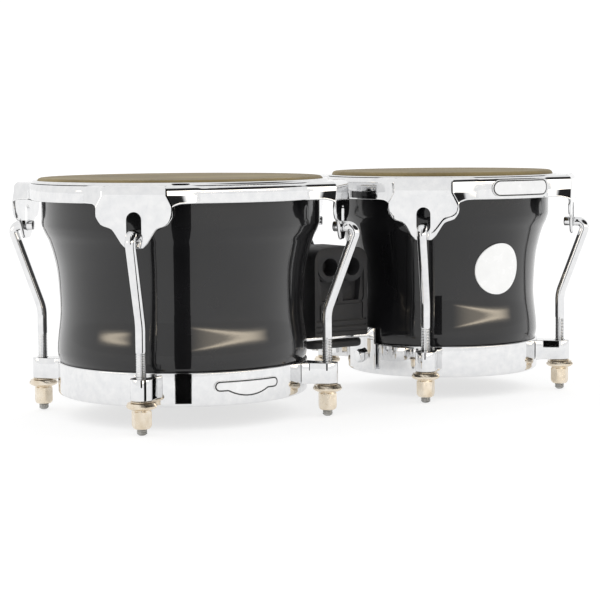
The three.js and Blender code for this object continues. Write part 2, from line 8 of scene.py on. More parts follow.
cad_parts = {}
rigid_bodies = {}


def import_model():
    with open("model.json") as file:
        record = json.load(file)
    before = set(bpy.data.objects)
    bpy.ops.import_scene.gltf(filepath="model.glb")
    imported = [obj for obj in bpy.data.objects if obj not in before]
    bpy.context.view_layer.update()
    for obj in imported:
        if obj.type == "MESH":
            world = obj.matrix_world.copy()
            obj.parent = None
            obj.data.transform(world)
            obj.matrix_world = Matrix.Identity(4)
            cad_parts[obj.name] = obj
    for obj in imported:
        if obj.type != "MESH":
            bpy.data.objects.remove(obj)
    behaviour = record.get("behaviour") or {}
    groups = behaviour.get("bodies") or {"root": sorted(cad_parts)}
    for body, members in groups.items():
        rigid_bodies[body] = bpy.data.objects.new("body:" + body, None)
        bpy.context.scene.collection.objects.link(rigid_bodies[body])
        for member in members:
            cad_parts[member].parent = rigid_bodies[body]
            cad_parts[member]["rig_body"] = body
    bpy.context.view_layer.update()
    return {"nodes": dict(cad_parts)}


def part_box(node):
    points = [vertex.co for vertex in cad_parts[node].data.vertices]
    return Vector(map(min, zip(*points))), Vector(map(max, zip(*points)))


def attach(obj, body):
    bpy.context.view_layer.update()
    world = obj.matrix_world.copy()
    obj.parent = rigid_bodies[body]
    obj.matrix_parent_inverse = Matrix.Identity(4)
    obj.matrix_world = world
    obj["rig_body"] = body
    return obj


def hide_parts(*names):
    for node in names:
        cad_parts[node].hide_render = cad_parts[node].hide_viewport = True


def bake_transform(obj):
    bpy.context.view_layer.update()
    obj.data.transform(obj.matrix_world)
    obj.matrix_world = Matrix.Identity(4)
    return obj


# Bongo drums: a large drum (hembra) and a small drum (macho) in a row along X, joined by a moulded
# centre block. Lengths are millimetres in a drum's own frame, with Z up from the underside of its
# bottom ring, and each piece is placed from the frame, in metres, as it is made.
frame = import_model()

MM = 0.001

# ---- Dimensions ----

HEMBRA = {
    "name": "hembra", "waist": 95.8, "bulge": 98.5, "lug_plate": 129.5, "rod_circle": 116.5,
    "band_bottom": 152.2, "lip": 2, "ear_root": 44, "nut_turns": (8.6, 22, 41, 30),
}
MACHO = {
    "name": "macho", "waist": 78.5, "bulge": 81.2, "lug_plate": 112.2, "rod_circle": 101.2,
    "band_bottom": 147.3, "lip": 0.8, "ear_root": 41, "nut_turns": (20, 47, 12, 36),
}
LUG_ANGLES = (-135, -45, 45, 135)  # front left first
SIDES = 180  # round every shell, hoop and ring
GAP = 0.3

SHELL_WALL = 5
BEARING_WALL = 9
WAIST_HEIGHT = 67
BULGE_HEIGHT = 34
BULGE_START = (29, 0.7)
FLARE_SECTION = ((82, 0.045), (97, 0.15), (110, 0.36), (120, 0.6), (128, 0.88), (134, 1))

RING_HEIGHT = 25.9
RING_WALL = 2.2
RING_LIP = 10

SKIN_THICKNESS = 1.5
HEAD_SLACK = 1.2  # by which the drawn head lies under the top of its solid
SKIN_HEM = 157
RIM_TOP = 165.5
RIM_WALL = 2.4
RIM_ROLL = 4.2  # outer radius of the rolled top edge
LIP_WIDTH = 3.2
EAR_DROP = 32
EAR_FLAT = 24.5  # half-width of an ear's flat plate at the band
EAR_FLAT_BELOW = 33.5  # and where its sides stop leaning
EAR_LEAN_TOP = 6.5  # from the band's lower edge
EAR_LEAN_BOTTOM = -9
EAR_CORNER = 2.5  # plan radius where an ear's flat plate turns into its side
ROOT_CORNER = 10
SLOT_WIDTH = 11.4
SLOT_BOTTOM = 5.8
SLOT_TOP = 26.7
EAR_EDGE = ((5.5, 0), (9.6, 3.2), (13.4, 9), (17.1, 14), (25, 17.2), (29, 23), (33, 29.4), (38, 32))
HOOP_BOTTOM = 156

ROD_RADIUS = 4
ROD_BEND = 64
BEND_RADIUS = 30
HOOK_REACH = 9.2
HOOK_RADIUS = 5.4
HOOK_TAIL = 7
THREAD_TOP = 44
THREAD_PITCH = 1.25
THREAD_DEPTH = 0.55
ROD_TIP = 6  # of each rod, left unplated

LUG_BOTTOM = 7.9
LUG_TOP = 24.3
LUG_NOSE = 8.3
LUG_FOOT = 10.8
ROD_BORE = 4.5
WASHER_RADIUS = 8.2
WASHER_THICKNESS = 1
FLANGE_RADIUS = 11.4
FLANGE_THICKNESS = 5
HEX_ACROSS_FLATS = 13
NUT_BOTTOM = -12.8

BLOCK_WIDTH = 52
BLOCK_DEPTH = 50
BLOCK_BOTTOM = 36
BLOCK_TOP = 108.8
BLOCK_CORNER = 11
SOCKET_RADIUS = 7.4
SOCKET_HEIGHT = 93
SOCKET_SPACING = 21.8
SOCKET_DEPTH = 18
POCKET_WIDTH = 15.5
POCKET_BOTTOM = 65
POCKET_SPACING = 20.5
POCKET_DEPTH = 8

PLATE_THICKNESS = 3
PLATE_TOP = BLOCK_BOTTOM - GAP
PLATE_HALF_DEPTH = 17
PLATE_LEG_BOTTOM = 4
FLARE_RISE = 4
FLARE_RUN = 6
CLAMP_HEIGHT = 6.6
CLAMP_LENGTH = 54
CLAMP_DEPTH = 40
BOLT_RADIUS = 3
BOLT_HEAD_RADIUS = 5.8
BOLT_HEAD = 4.5
BOLT_SPREAD = 11
RING_BOLT_HEIGHT = 15

BADGE_RADIUS = 21.3
BADGE_ACROSS = -3
BADGE_HEIGHT = 89
BADGE_THICKNESS = 0.9
PRINT_RISE = 0.12  # by which a printed line stands proud of its label
# Each label is a capsule. The swell is how far its lower edge hangs below it, over a half-width.
RIM_LABEL = {"width": 60, "height": 13.6, "across": 5.5, "up": 156.3, "swell": 0, "swell_half": 0}
RING_LABEL = {"width": 56, "height": 8.4, "across": 0.2, "up": 15, "swell": 4.4, "swell_half": 17.5}


def half_width(node):
    low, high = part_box(node)
    return (high.y - low.y) / 2 / MM


def measure(drum):
    """Adds what the frame says: the drum's place and the radii and heights of its round pieces."""
    name = drum["name"]
    low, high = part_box(name + "_bottom_ring")
    drum["origin"] = Vector(((low.x + high.x) / 2, (low.y + high.y) / 2, low.z))
    drum["ring"] = half_width(name + "_bottom_ring")
    drum["shell_top"] = half_width(name + "_shell")
    drum["collar"] = half_width(name + "_skin")
    drum["band"] = half_width(name + "_rim")
    drum["head_top"] = (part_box(name + "_skin")[1].z - low.z) / MM - HEAD_SLACK
    drum["rod_end"] = (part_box(name + "_tuning_rod_1")[0].z - low.z) / MM


for each_drum in (HEMBRA, MACHO):
    measure(each_drum)

# ---- Camera, floor and light ----

CAMERA_PLACE = Vector((-0.8698, -1.3154, 0.2259))
CAMERA_HEADING = 56.796  # degrees from +X
CAMERA_PITCH = -5.178
CAMERA_ROLL = -0.45
CAMERA_LENS = 115.2


def add_camera():
    data = bpy.data.cameras.new("camera")
    data.lens = CAMERA_LENS
    data.sensor_width = 36
    data.clip_end = 50
    camera = bpy.data.objects.new("camera", data)
    turn = Matrix.Rotation(math.radians(CAMERA_HEADING - 90), 4, "Z")
    tilt = Matrix.Rotation(math.radians(90 + CAMERA_PITCH), 4, "X")
    roll = Matrix.Rotation(math.radians(CAMERA_ROLL), 4, "Z")
    camera.matrix_world = Matrix.Translation(CAMERA_PLACE) @ turn @ tilt @ roll
    bpy.context.scene.collection.objects.link(camera)
    bpy.context.scene.camera = camera


# ---- Materials ----


def link(tree, source, output, target, socket):
    tree.links.new(source.outputs[output], target.inputs[socket])


def new_material(name, **settings):
    """A principled material and its tree. The settings are values of the shader's own sockets."""
    material = bpy.data.materials.new(name)
    material.use_nodes = True
    tree = material.node_tree
    shader = tree.nodes["Principled BSDF"]
    for socket, value in settings.items():
        shader.inputs[socket.replace("_", " ")].default_value = value
    return material, tree, shader


def noise(tree, scale, detail=3, stretch=(1, 1, 1)):
    """Noise on the piece's own coordinates, in cells per metre."""
    place = tree.nodes.new("ShaderNodeTexCoord")
    mapping = tree.nodes.new("ShaderNodeMapping")
    mapping.inputs["Scale"].default_value = stretch
    texture = tree.nodes.new("ShaderNodeTexNoise")
    texture.inputs["Scale"].default_value = scale
    texture.inputs["Detail"].default_value = detail
    link(tree, place, "Object", mapping, "Vector")
    link(tree, mapping, "Vector", texture, "Vector")
    return texture


def ramp_of(tree, socket, stops):
    """A colour ramp with stops (position, colour) along the values of a socket."""
    ramp = tree.nodes.new("ShaderNodeValToRGB")
    elements = ramp.color_ramp.elements
    while len(elements) < len(stops):
        elements.new(0.5)
    for element, (position, colour) in zip(elements, stops):
        element.position = position
        element.color = (*colour, 1)
    tree.links.new(socket, ramp.inputs["Fac"])
    return ramp


def colour_by(tree, shader, source, stops):
    ramp = ramp_of(tree, source.outputs["Fac"], stops)
    link(tree, ramp, "Color", shader, "Base Color")
    return ramp


def roughness_by(tree, shader, source, low, high):
    spread = tree.nodes.new("ShaderNodeMapRange")
    spread.inputs["To Min"].default_value = low
    spread.inputs["To Max"].default_value = high
    link(tree, source, "Fac", spread, "Value")
    link(tree, spread, "Result", shader, "Roughness")


def bump_by(tree, shader, source, strength, depth_mm):
    bump = tree.nodes.new("ShaderNodeBump")
    bump.inputs["Strength"].default_value = strength
    bump.inputs["Distance"].default_value = depth_mm * MM
    link(tree, source, "Fac", bump, "Height")
    link(tree, bump, "Normal", shader, "Normal")
    return bump


def chrome_material():
    """Bright plating with faint waviness and polishing haze."""
    material, tree, shader = new_material("chrome", Metallic=1.0)
    waves = noise(tree, 22, 2)
    haze = noise(tree, 160, 4)
    colour_by(tree, shader, haze, ((0.3, (0.74, 0.745, 0.755)), (0.7, (0.82, 0.82, 0.82))))
    roughness_by(tree, shader, haze, 0.035, 0.075)
    bump_by(tree, shader, waves, 0.16, 0.35)
    return material


def steel_material():
    """Dull grey steel of the cut rod ends, where the plating stops."""
    material, tree, shader = new_material("rod_steel", Metallic=1.0)
    grain = noise(tree, 1200, 4)
    colour_by(tree, shader, grain, ((0.3, (0.34, 0.34, 0.33)), (0.7, (0.48, 0.475, 0.46))))
    roughness_by(tree, shader, grain, 0.35, 0.5)
    bump_by(tree, shader, grain, 0.2, 0.05)
    return material


def nickel_material():
    """Warm, satin nickel of the nuts and washers."""
    material, tree, shader = new_material("nut_nickel", Metallic=1.0)
    grain = noise(tree, 900, 4, (1, 1, 0.25))
    stain = noise(tree, 130, 3)
    colour_by(tree, shader, stain, ((0.3, (0.70, 0.60, 0.46)), (0.7, (0.86, 0.78, 0.66))))
    roughness_by(tree, shader, grain, 0.2, 0.38)
    bump_by(tree, shader, grain, 0.15, 0.05)
    return material


def lacquer_material():
    """Black pigment under a thick clear coat, with a trace of orange peel."""
    material, tree, shader = new_material("shell_lacquer")
    shader.inputs["Specular IOR Level"].default_value = 0.1
    shader.inputs["Coat Weight"].default_value = 1.0
    shader.inputs["Coat Roughness"].default_value = 0.035
    cloud = noise(tree, 14, 4)
    peel = noise(tree, 420, 2)
    colour_by(tree, shader, cloud, ((0.3, (0.0035, 0.0035, 0.004)), (0.7, (0.008, 0.008, 0.009))))
    roughness_by(tree, shader, cloud, 0.25, 0.4)
    bump = bump_by(tree, shader, peel, 0.05, 0.05)
    link(tree, bump, "Normal", shader, "Coat Normal")
    return material


def inside_material():
    """Bare, dark fibreglass on the inside of the shells."""
    material, tree, shader = new_material("shell_inside")
    strands = noise(tree, 260, 6, (1, 1, 0.2))
    colour_by(tree, shader, strands, ((0.35, (0.012, 0.012, 0.012)), (0.7, (0.045, 0.043, 0.04))))
    roughness_by(tree, shader, strands, 0.45, 0.7)
    bump_by(tree, shader, strands, 0.5, 0.4)
    return material


def skin_material():
    """Buffalo hide: tan with paler and darker clouds, pores and fine fibres."""
    material, tree, shader = new_material("skin")
    shader.inputs["Specular IOR Level"].default_value = 0.25
    cloud = noise(tree, 16, 6)
    fibres = noise(tree, 700, 5, (1, 0.12, 1))
    stops = ((0.28, (0.17, 0.125, 0.052)), (0.5, (0.25, 0.19, 0.083)), (0.72, (0.34, 0.265, 0.125)))
    ramp = colour_by(tree, shader, cloud, stops)
    mix = tree.nodes.new("ShaderNodeMix")
    mix.data_type = "RGBA"
    mix.blend_type = "MULTIPLY"
    mix.inputs[0].default_value = 0.35
    link(tree, ramp, "Color", mix, 6)
    link(tree, fibres, "Fac", mix, 7)
    link(tree, mix, 2, shader, "Base Color")
    roughness_by(tree, shader, fibres, 0.42, 0.68)
    bump_by(tree, shader, fibres, 0.35, 0.25)
    return material


def moulding_material():
    """Charcoal moulded plastic with a fine spark-eroded grain."""
    material, tree, shader = new_material("moulding")
    grain = noise(tree, 1500, 2)
    cloud = noise(tree, 60, 3)
    colour_by(tree, shader, cloud, ((0.3, (0.016, 0.016, 0.017)), (0.7, (0.026, 0.026, 0.028))))
    shader.inputs["Specular IOR Level"].default_value = 0.3
    roughness_by(tree, shader, grain, 0.42, 0.6)
    bump_by(tree, shader, grain, 0.3, 0.12)
    return material


def enamel_material(name, dark, pale):
    """Glossy printed enamel, slightly uneven."""
    material, tree, shader = new_material(name)
    cloud = noise(tree, 90, 3)
    colour_by(tree, shader, cloud, ((0.3, dark), (0.7, pale)))
    roughness_by(tree, shader, cloud, 0.2, 0.32)
    bump_by(tree, shader, noise(tree, 500, 2), 0.08, 0.05)
    return material


def floor_material():
    material, tree, shader = new_material("floor")
    paper = noise(tree, 3, 2)
    colour_by(tree, shader, paper, ((0.3, (0.34, 0.34, 0.34)), (0.7, (0.36, 0.36, 0.36))))
    shader.inputs["Roughness"].default_value = 0.9
    shader.inputs["Specular IOR Level"].default_value = 0.1
    shader.inputs["Emission Color"].default_value = (1, 1, 1, 1)
    shader.inputs["Emission Strength"].default_value = 0.7
    return material


MATERIALS = {
    "chrome": chrome_material(),
    "rod_steel": steel_material(),
    "nut_nickel": nickel_material(),
    "shell_lacquer": lacquer_material(),
    "shell_inside": inside_material(),
    "skin": skin_material(),
    "moulding": moulding_material(),
    "badge": enamel_material("badge", (0.88, 0.88, 0.87), (0.93, 0.93, 0.92)),
    "label": enamel_material("label", (0.80, 0.80, 0.80), (0.87, 0.87, 0.87)),
    "print": enamel_material("print", (0.010, 0.010, 0.010), (0.02, 0.02, 0.02)),
}

# ---- Plane shapes ----


def fillet(corners, steps=5, closed=True):
    """The outline with its corners rounded. A corner is (x, y) or (x, y, radius)."""
    outline = []
    for index, corner in enumerate(corners):
        here = Vector(corner[:2])
        is_end = not closed and index in (0, len(corners) - 1)
        if len(corner) < 3 or is_end:
            outline.append(here)
            continue
        back = (Vector(corners[index - 1][:2]) - here).normalized()
        ahead = (Vector(corners[(index + 1) % len(corners)][:2]) - here).normalized()
        half = back.angle(ahead) / 2
        centre = here + (back + ahead).normalized() * corner[2] / math.sin(half)
        start = here + back * corner[2] / math.tan(half) - centre
        turn = math.copysign(math.pi - 2 * half, -back.cross(ahead))
        for step in range(steps + 1):
            outline.append(centre + Matrix.Rotation(turn * step / steps, 2) @ start)
    return outline


def subdivide(outline, parts):
    """A closed outline with each of its sides cut into a number of equal parts."""
    points = []
    for index, count in enumerate(parts):
        following = outline[(index + 1) % len(outline)]
        points += [outline[index].lerp(following, step / count) for step in range(count)]
    return points


def resample(outline, spacing):
    """A closed outline with points at even steps along it."""
    lengths = [(b - a).length for a, b in zip(outline, outline[1:] + outline[:1])]
    count = round(sum(lengths) / spacing)
    step = sum(lengths) / count
    points, index, passed = [], 0, 0.0
    for number in range(count):
        while passed + lengths[index] < number * step:
            passed += lengths[index]
            index += 1
        share = (number * step - passed) / lengths[index]
        points.append(outline[index].lerp(outline[(index + 1) % len(outline)], share))
    return points


def outward_normals(outline):
    """Normals of a closed anticlockwise outline."""
    normals = []
    for index in range(len(outline)):
        along = outline[(index + 1) % len(outline)] - outline[index - 1]
        normals.append(Vector((along.y, -along.x)).normalized())
    return normals


def inset(outline, distance):
    return [point - normal * distance for point, normal in zip(outline, outward_normals(outline))]


def smooth_through(knots, at):
    """The smooth curve through knots (x, y) of rising x that never overshoots, held flat outside them."""
    if at <= knots[0][0]:
        return knots[0][1]
    if at >= knots[-1][0]:
        return knots[-1][1]
    slopes = [(b[1] - a[1]) / (b[0] - a[0]) for a, b in zip(knots, knots[1:])]
    index = next(i for i in range(len(slopes)) if at <= knots[i + 1][0])

    def tangent(knot):
        if knot in (0, len(slopes)) or slopes[knot - 1] * slopes[knot] <= 0:
            return 0.0
        return 2 * slopes[knot - 1] * slopes[knot] / (slopes[knot - 1] + slopes[knot])

    width = knots[index + 1][0] - knots[index][0]
    t = (at - knots[index][0]) / width
    rise = knots[index][1] * (1 + 2 * t) * (1 - t) ** 2 + knots[index + 1][1] * t * t * (3 - 2 * t)
    return rise + width * (tangent(index) * t * (1 - t) ** 2 - tangent(index + 1) * t * t * (1 - t))


def arc(centre_x, centre_y, radius, start, end, steps):
    """Points on an arc, with its angles in degrees."""
    angles = [math.radians(start + (end - start) * step / steps) for step in range(steps + 1)]
    return [Vector((centre_x + radius * math.cos(a), centre_y + radius * math.sin(a))) for a in angles]


def capsule(width, height, across=0.0, up=0.0, steps=8):
    radius = min(width, height) / 2
    reach_x, reach_y = width / 2 - radius, height / 2 - radius
    outline = []
    for quarter, (sign_x, sign_y) in enumerate(((1, 1), (-1, 1), (-1, -1), (1, -1))):
        centre = (across + sign_x * reach_x, up + sign_y * reach_y)
        outline += arc(*centre, radius, 90 * quarter, 90 * quarter + 90, steps)
    return [p for i, p in enumerate(outline) if (p - outline[i - 1]).length > 1e-4]


# ---- Mesh building ----


def drum_place(drum, degrees=0.0, out=0.0):
    """From a frame in millimetres, turned to a lug and moved out along it, to metres in the row."""
    turn = Matrix.Rotation(math.radians(degrees), 4, "Z")
    return Matrix.Translation(drum["origin"]) @ Matrix.Scale(MM, 4) @ turn @ Matrix.Translation((out, 0, 0))


def loft(rows, closed=False):
    """Vertices and faces of a skin over rows of equally many points, closed round each row."""
    width = len(rows[0])
    faces = []
    for index in range(len(rows) if closed else len(rows) - 1):
        this, after = index * width, (index + 1) % len(rows) * width
        for side in range(width):
            step = (side + 1) % width
            faces.append((this + side, this + step, after + step, after + side))
    if not closed:
        faces.append(tuple(range(width))[::-1])
        faces.append(tuple(range((len(rows) - 1) * width, len(rows) * width)))
    return [point for row in rows for point in row], faces


def circle(radius, height, sides=SIDES):
    turns = [2 * math.pi * side / sides for side in range(sides)]
    return [Vector((radius * math.cos(turn), radius * math.sin(turn), height)) for turn in turns]


def lathe(section, sides=SIDES):
    """A section of (radius, height) points, closed on itself, turned about Z."""
    return loft([circle(radius, height, sides) for radius, height in section], closed=True)


def prism_rows(outline, bottom, top, edge):
    """Rows of a plate raised from an outline, with its two rims rounded by edge."""
    rows = []
    for turn in (90, 60, 30, 0):
        pull = edge * (1 - math.cos(math.radians(turn)))
        height = bottom + edge * (1 - math.sin(math.radians(turn)))
        rows.append([Vector((*p, height)) for p in inset(outline, pull)])
    return rows + [[Vector((p.x, p.y, bottom + top - p.z)) for p in row] for row in rows[::-1]]


def front_frame(vertices):
    """Turns points drawn with X across and Y up, raised along Z, so that they run back along Y."""
    return [Vector((v.x, v.z, v.y)) for v in vertices]


def new_piece(name, shape, place, material, sharp=30):
    """A mesh object from (vertices, faces), in metres, with smooth shading between its edges."""
    mesh = bpy.data.meshes.new(name)
    work = bmesh.new()
    corners = [work.verts.new(place @ Vector(vertex)) for vertex in shape[0]]
    for face in shape[1]:
        work.faces.new([corners[index] for index in face])
    bmesh.ops.remove_doubles(work, verts=work.verts, dist=0.5e-6)
    bmesh.ops.recalc_face_normals(work, faces=work.faces)
    work.to_mesh(mesh)
    work.free()
    piece = bpy.data.objects.new(name, mesh)
    bpy.context.scene.collection.objects.link(piece)
    mesh.materials.append(MATERIALS[material])
    shade(piece, sharp)
    return piece


def shade(piece, sharp):
    piece.data.shade_smooth()
    piece.data.set_sharp_from_angle(angle=math.radians(sharp))


def apply_modifiers(piece):
    graph = bpy.context.evaluated_depsgraph_get()
    made = bpy.data.meshes.new_from_object(piece.evaluated_get(graph))
    piece.modifiers.clear()
    piece.data = made


def combine(piece, other, operation):
    """Joins or cuts the piece with another object, which is then removed."""
    modifier = piece.modifiers.new("combine", "BOOLEAN")
    modifier.object = other
    modifier.operation = operation
    modifier.solver = "EXACT"
    bpy.context.view_layer.update()
    apply_modifiers(piece)
    bpy.data.objects.remove(other)


def soften(piece, width_mm, sharp=30):
    """Rounds the sharp edges of a piece made by cuts."""
    bevel = piece.modifiers.new("edges", "BEVEL")
    bevel.width = width_mm * MM
    bevel.segments = 2
    bevel.limit_method = "ANGLE"
    bevel.angle_limit = math.radians(sharp)
    bevel.use_clamp_overlap = True
    bevel.harden_normals = False
    apply_modifiers(piece)
    shade(piece, sharp)


def stand_for(piece, node):
    """The piece takes the place of a CAD node, and rides on the same body."""
    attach(piece, frame["nodes"][node]["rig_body"])
    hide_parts(node)


# ---- Shell, skin, hoop and bottom ring ----


def shell_radius(drum, height):
    """Outside radius: in at the ring's foot, a soft bulge above it, a waist, then a flare."""
    waist, bulge = drum["waist"], drum["bulge"]
    if height >= WAIST_HEIGHT:
        widening = drum["shell_top"] - waist
        knots = [(WAIST_HEIGHT, waist), *((up, waist + part * widening) for up, part in FLARE_SECTION)]
        return smooth_through(knots, height)
    if height >= BULGE_HEIGHT:
        share = (WAIST_HEIGHT - height) / (WAIST_HEIGHT - BULGE_HEIGHT)
        return waist + (bulge - waist) * share * share * (3 - 2 * share)
    foot = drum["ring"] - RING_WALL - GAP
    up, part = BULGE_START
    knots = ((RING_HEIGHT - 2, foot), (up, waist + part * (bulge - waist)), (BULGE_HEIGHT, bulge))
    return smooth_through(knots, height)


def build_shell(drum):
    foot = drum["ring"] - RING_WALL - GAP
    top = drum["head_top"] - SKIN_THICKNESS - GAP
    bearing = drum["shell_top"] - BEARING_WALL
    inner = drum["waist"] - SHELL_WALL
    first, last = RING_HEIGHT - 2, FLARE_SECTION[-1][0]
    heights = [first + (last - first) * step / 90 for step in range(91)]
    section = [(foot, RING_WALL + GAP), *((shell_radius(drum, height), height) for height in heights)]
    inside = ((drum["shell_top"], last), (drum["shell_top"], top, 4), (bearing, top, 2),
              (bearing, last + 8, 6), (inner, FLARE_SECTION[1][0], 20),
              (inner, WAIST_HEIGHT - 10, 20), (foot - SHELL_WALL, RING_HEIGHT, 10),
              (foot - SHELL_WALL, RING_WALL + GAP))
    section += fillet(inside, closed=False)[1:]
    shape = lathe([tuple(point) for point in section])
    piece = new_piece(drum["name"] + "_shell_lacquered", shape, drum_place(drum), "shell_lacquer")
    piece.data.materials.append(MATERIALS["shell_inside"])
    axis = drum["origin"].xy
    for face in piece.data.polygons:
        outwards = (face.center.xy - axis).dot(face.normal.xy)
        low_enough = face.center.z < drum["origin"].z + (top - 1) * MM
        face.material_index = 1 if outwards < 0 and low_enough else 0
    stand_for(piece, drum["name"] + "_shell")


def build_skin(drum):
    """The head: flat over the bearing edge, then down inside the rim and out under the flesh hoop."""
    top, shell, collar = drum["head_top"], drum["shell_top"], drum["collar"]
    under = top - SKIN_THICKNESS
    crown = [(0, top), (shell * 0.5, top), (shell * 0.9, top)]
    outside = fillet(((shell * 0.94, top), (collar - 0.6, top, 3.2), (collar, SKIN_HEM + 3, 2),
                      (collar, SKIN_HEM)), 8, closed=False)
    inside = fillet(((shell + GAP, SKIN_HEM), (shell + GAP, under, 3.4), (shell * 0.94, under)),
                    6, closed=False)
    section = [*crown, *outside, *inside, (shell * 0.5, under), (0, under)]
    shape = lathe([tuple(point) for point in section])
    piece = new_piece(drum["name"] + "_skin_head", shape, drum_place(drum), "skin")
    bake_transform(piece)
    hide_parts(drum["name"] + "_skin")


def build_flesh_hoop(drum):
    inner, outer = drum["collar"] + 0.6, drum["band"] - RIM_WALL - GAP
    top = RIM_TOP - RIM_WALL - GAP
    corners = ((inner, HOOP_BOTTOM, 1.5), (outer, HOOP_BOTTOM, 1.5), (outer, top, 1.5), (inner, top, 1.5))
    shape = lathe([tuple(point) for point in fillet(corners, 4)])
    piece = new_piece(drum["name"] + "_hoop_rolled", shape, drum_place(drum), "chrome")
    stand_for(piece, drum["name"] + "_flesh_hoop")


def build_bottom_ring(drum):
    inner, lip = drum["ring"] - RING_WALL, drum["ring"] - RING_WALL - RING_LIP
    corners = ((lip, 0, 0.8), (drum["ring"], 0, 3), (drum["ring"], RING_HEIGHT, 0.9),
               (inner, RING_HEIGHT, 0.7), (inner, RING_WALL, 0.8), (lip, RING_WALL, 0.8))
    shape = lathe([tuple(point) for point in fillet(corners, 5)])
    piece = new_piece(drum["name"] + "_ring_pressed", shape, drum_place(drum), "chrome")
    stand_for(piece, drum["name"] + "_bottom_ring")


# ---- Counter rim ----


def rim_plan(drum, flat):
    """The rim's outer plan: an arc between the lugs, and a flat plate with slanted sides at each."""
    band = drum["band"]
    root = math.degrees(math.asin(drum["ear_root"] / band))
    corners = []
    for index, degrees in enumerate(LUG_ANGLES):
        turn = Matrix.Rotation(math.radians(degrees), 2)
        for side in (-flat, flat):
            corners.append((*(turn @ Vector((drum["lug_plate"], side))), EAR_CORNER))
        following = LUG_ANGLES[index + 1] if index < 3 else LUG_ANGLES[0] + 360
        between = arc(0, 0, band, degrees + root, following - root, 14)
        corners.append((*between[0], ROOT_CORNER))
        corners += [tuple(point) for point in between[1:-1]]
        corners.append((*between[-1], ROOT_CORNER))
    return fillet(corners, 6)


def ear_height(drum, point):
    """Height of the rim's lower edge at a point of its plan."""
    turns = [Matrix.Rotation(math.radians(-degrees), 2) for degrees in LUG_ANGLES]
    nearest = max((turn @ point for turn in turns), key=lambda local: local.x)
    return drum["band_bottom"] - EAR_DROP + smooth_through(EAR_EDGE, abs(nearest.y))


def build_rim(drum):
    """The rim, whose ears lean out at their sides from the middle of the band down."""
    plan, below = rim_plan(drum, EAR_FLAT), rim_plan(drum, EAR_FLAT_BELOW)
    parts = [math.ceil((after - point).length / 1.25) for point, after in zip(plan, plan[1:] + plan[:1])]
    plan, below = subdivide(plan, parts), subdivide(below, parts)
    feet = [ear_height(drum, point) for point in below]
    lean_top = drum["band_bottom"] + EAR_LEAN_TOP
    lean_bottom = drum["band_bottom"] + EAR_LEAN_BOTTOM
    mouth = drum["collar"] + 0.6
    half = RIM_WALL / 2

    def wall_row(offset, heights):
        """A row of the wall, set in by an offset, with its own height at each point of the plan."""
        outline = []
        for upper, lower, height in zip(plan, below, heights):
            lean = min(max((lean_top - height) / (lean_top - lean_bottom), 0), 1)
            outline.append(upper.lerp(lower, lean))
        return [Vector((*p, height)) for p, height in zip(inset(outline, offset), heights)]

    def lean_row(offset, share):
        return wall_row(offset, [max(foot + half, foot + (lean_top - foot) * share) for foot in feet])

    def level_row(offset, height):
        return wall_row(offset, [height] * len(plan))

    def mouth_row(radius, height):
        return [Vector((*(p.normalized() * radius), height)) for p in plan]

    def roll(radius, start, end):
        centre = RIM_TOP - RIM_ROLL
        return [level_row(p.x, centre + p.y) for p in arc(RIM_ROLL, 0, radius, start, end, 6)]

    def foot_edge(start, end):
        return [wall_row(p.x, [foot + p.y for foot in feet]) for p in arc(half, half, half, start, end, 3)]

    steps = (0.2, 0.35, 0.5, 0.65, 0.8, 0.93, 1)
    rows = [*foot_edge(270, 180), *(lean_row(0, share) for share in steps), *roll(RIM_ROLL, 180, 90)]
    lip = LIP_WIDTH / 2
    lip_start = math.degrees(math.asin(max(lip - drum["lip"], 0.3) / lip))
    rows.append(mouth_row(mouth + LIP_WIDTH + 0.6, RIM_TOP))
    lip_centre = (mouth + lip, RIM_TOP + drum["lip"] - lip)
    rows += [mouth_row(p.x, p.y) for p in arc(*lip_centre, lip, lip_start, 180, 8)]
    rows += [mouth_row(mouth, RIM_TOP - RIM_WALL + 0.5), mouth_row(mouth + 0.5, RIM_TOP - RIM_WALL)]
    rows += [*roll(RIM_ROLL - RIM_WALL, 90, 180), *(lean_row(RIM_WALL, share) for share in steps[::-1])]
    rows += foot_edge(360, 270)[:-1]
    piece = new_piece(drum["name"] + "_rim_rolled", loft(rows, closed=True), drum_place(drum), "chrome", 40)
    slot = capsule(SLOT_WIDTH, SLOT_TOP - SLOT_BOTTOM, 0,
                   drum["band_bottom"] - EAR_DROP + (SLOT_BOTTOM + SLOT_TOP) / 2)
    for degrees in LUG_ANGLES:
        rows = [[Vector((x, p.x, p.y)) for p in slot] for x in (-10, 5)]
        place = drum_place(drum, degrees, drum["lug_plate"])
        combine(piece, new_piece("slot_tool", loft(rows), place, "chrome"), "DIFFERENCE")
    shade(piece, 40)
    stand_for(piece, drum["name"] + "_rim")


# ---- Tuning hardware, drawn with X outwards along a lug ----


def rod_path(drum):
    """The rod's centre line in X and Z: straight, slanted outwards, then hooked back through the ear."""
    tail = drum["band_bottom"] - EAR_DROP + SLOT_BOTTOM + ROD_RADIUS + GAP
    foot = drum["rod_circle"]
    hook_x = drum["lug_plate"] + HOOK_REACH - HOOK_RADIUS
    towards = Vector((hook_x - foot, tail - HOOK_RADIUS - ROD_BEND))
    slant = math.atan2(towards.x, towards.y) + math.asin(HOOK_RADIUS / towards.length)
    corner = foot + math.tan(slant) * (tail - ROD_BEND)
    return fillet(((foot, THREAD_TOP), (foot, ROD_BEND, BEND_RADIUS), (corner, tail, HOOK_RADIUS),
                   (drum["lug_plate"] - HOOK_TAIL, tail)), 12, closed=False)


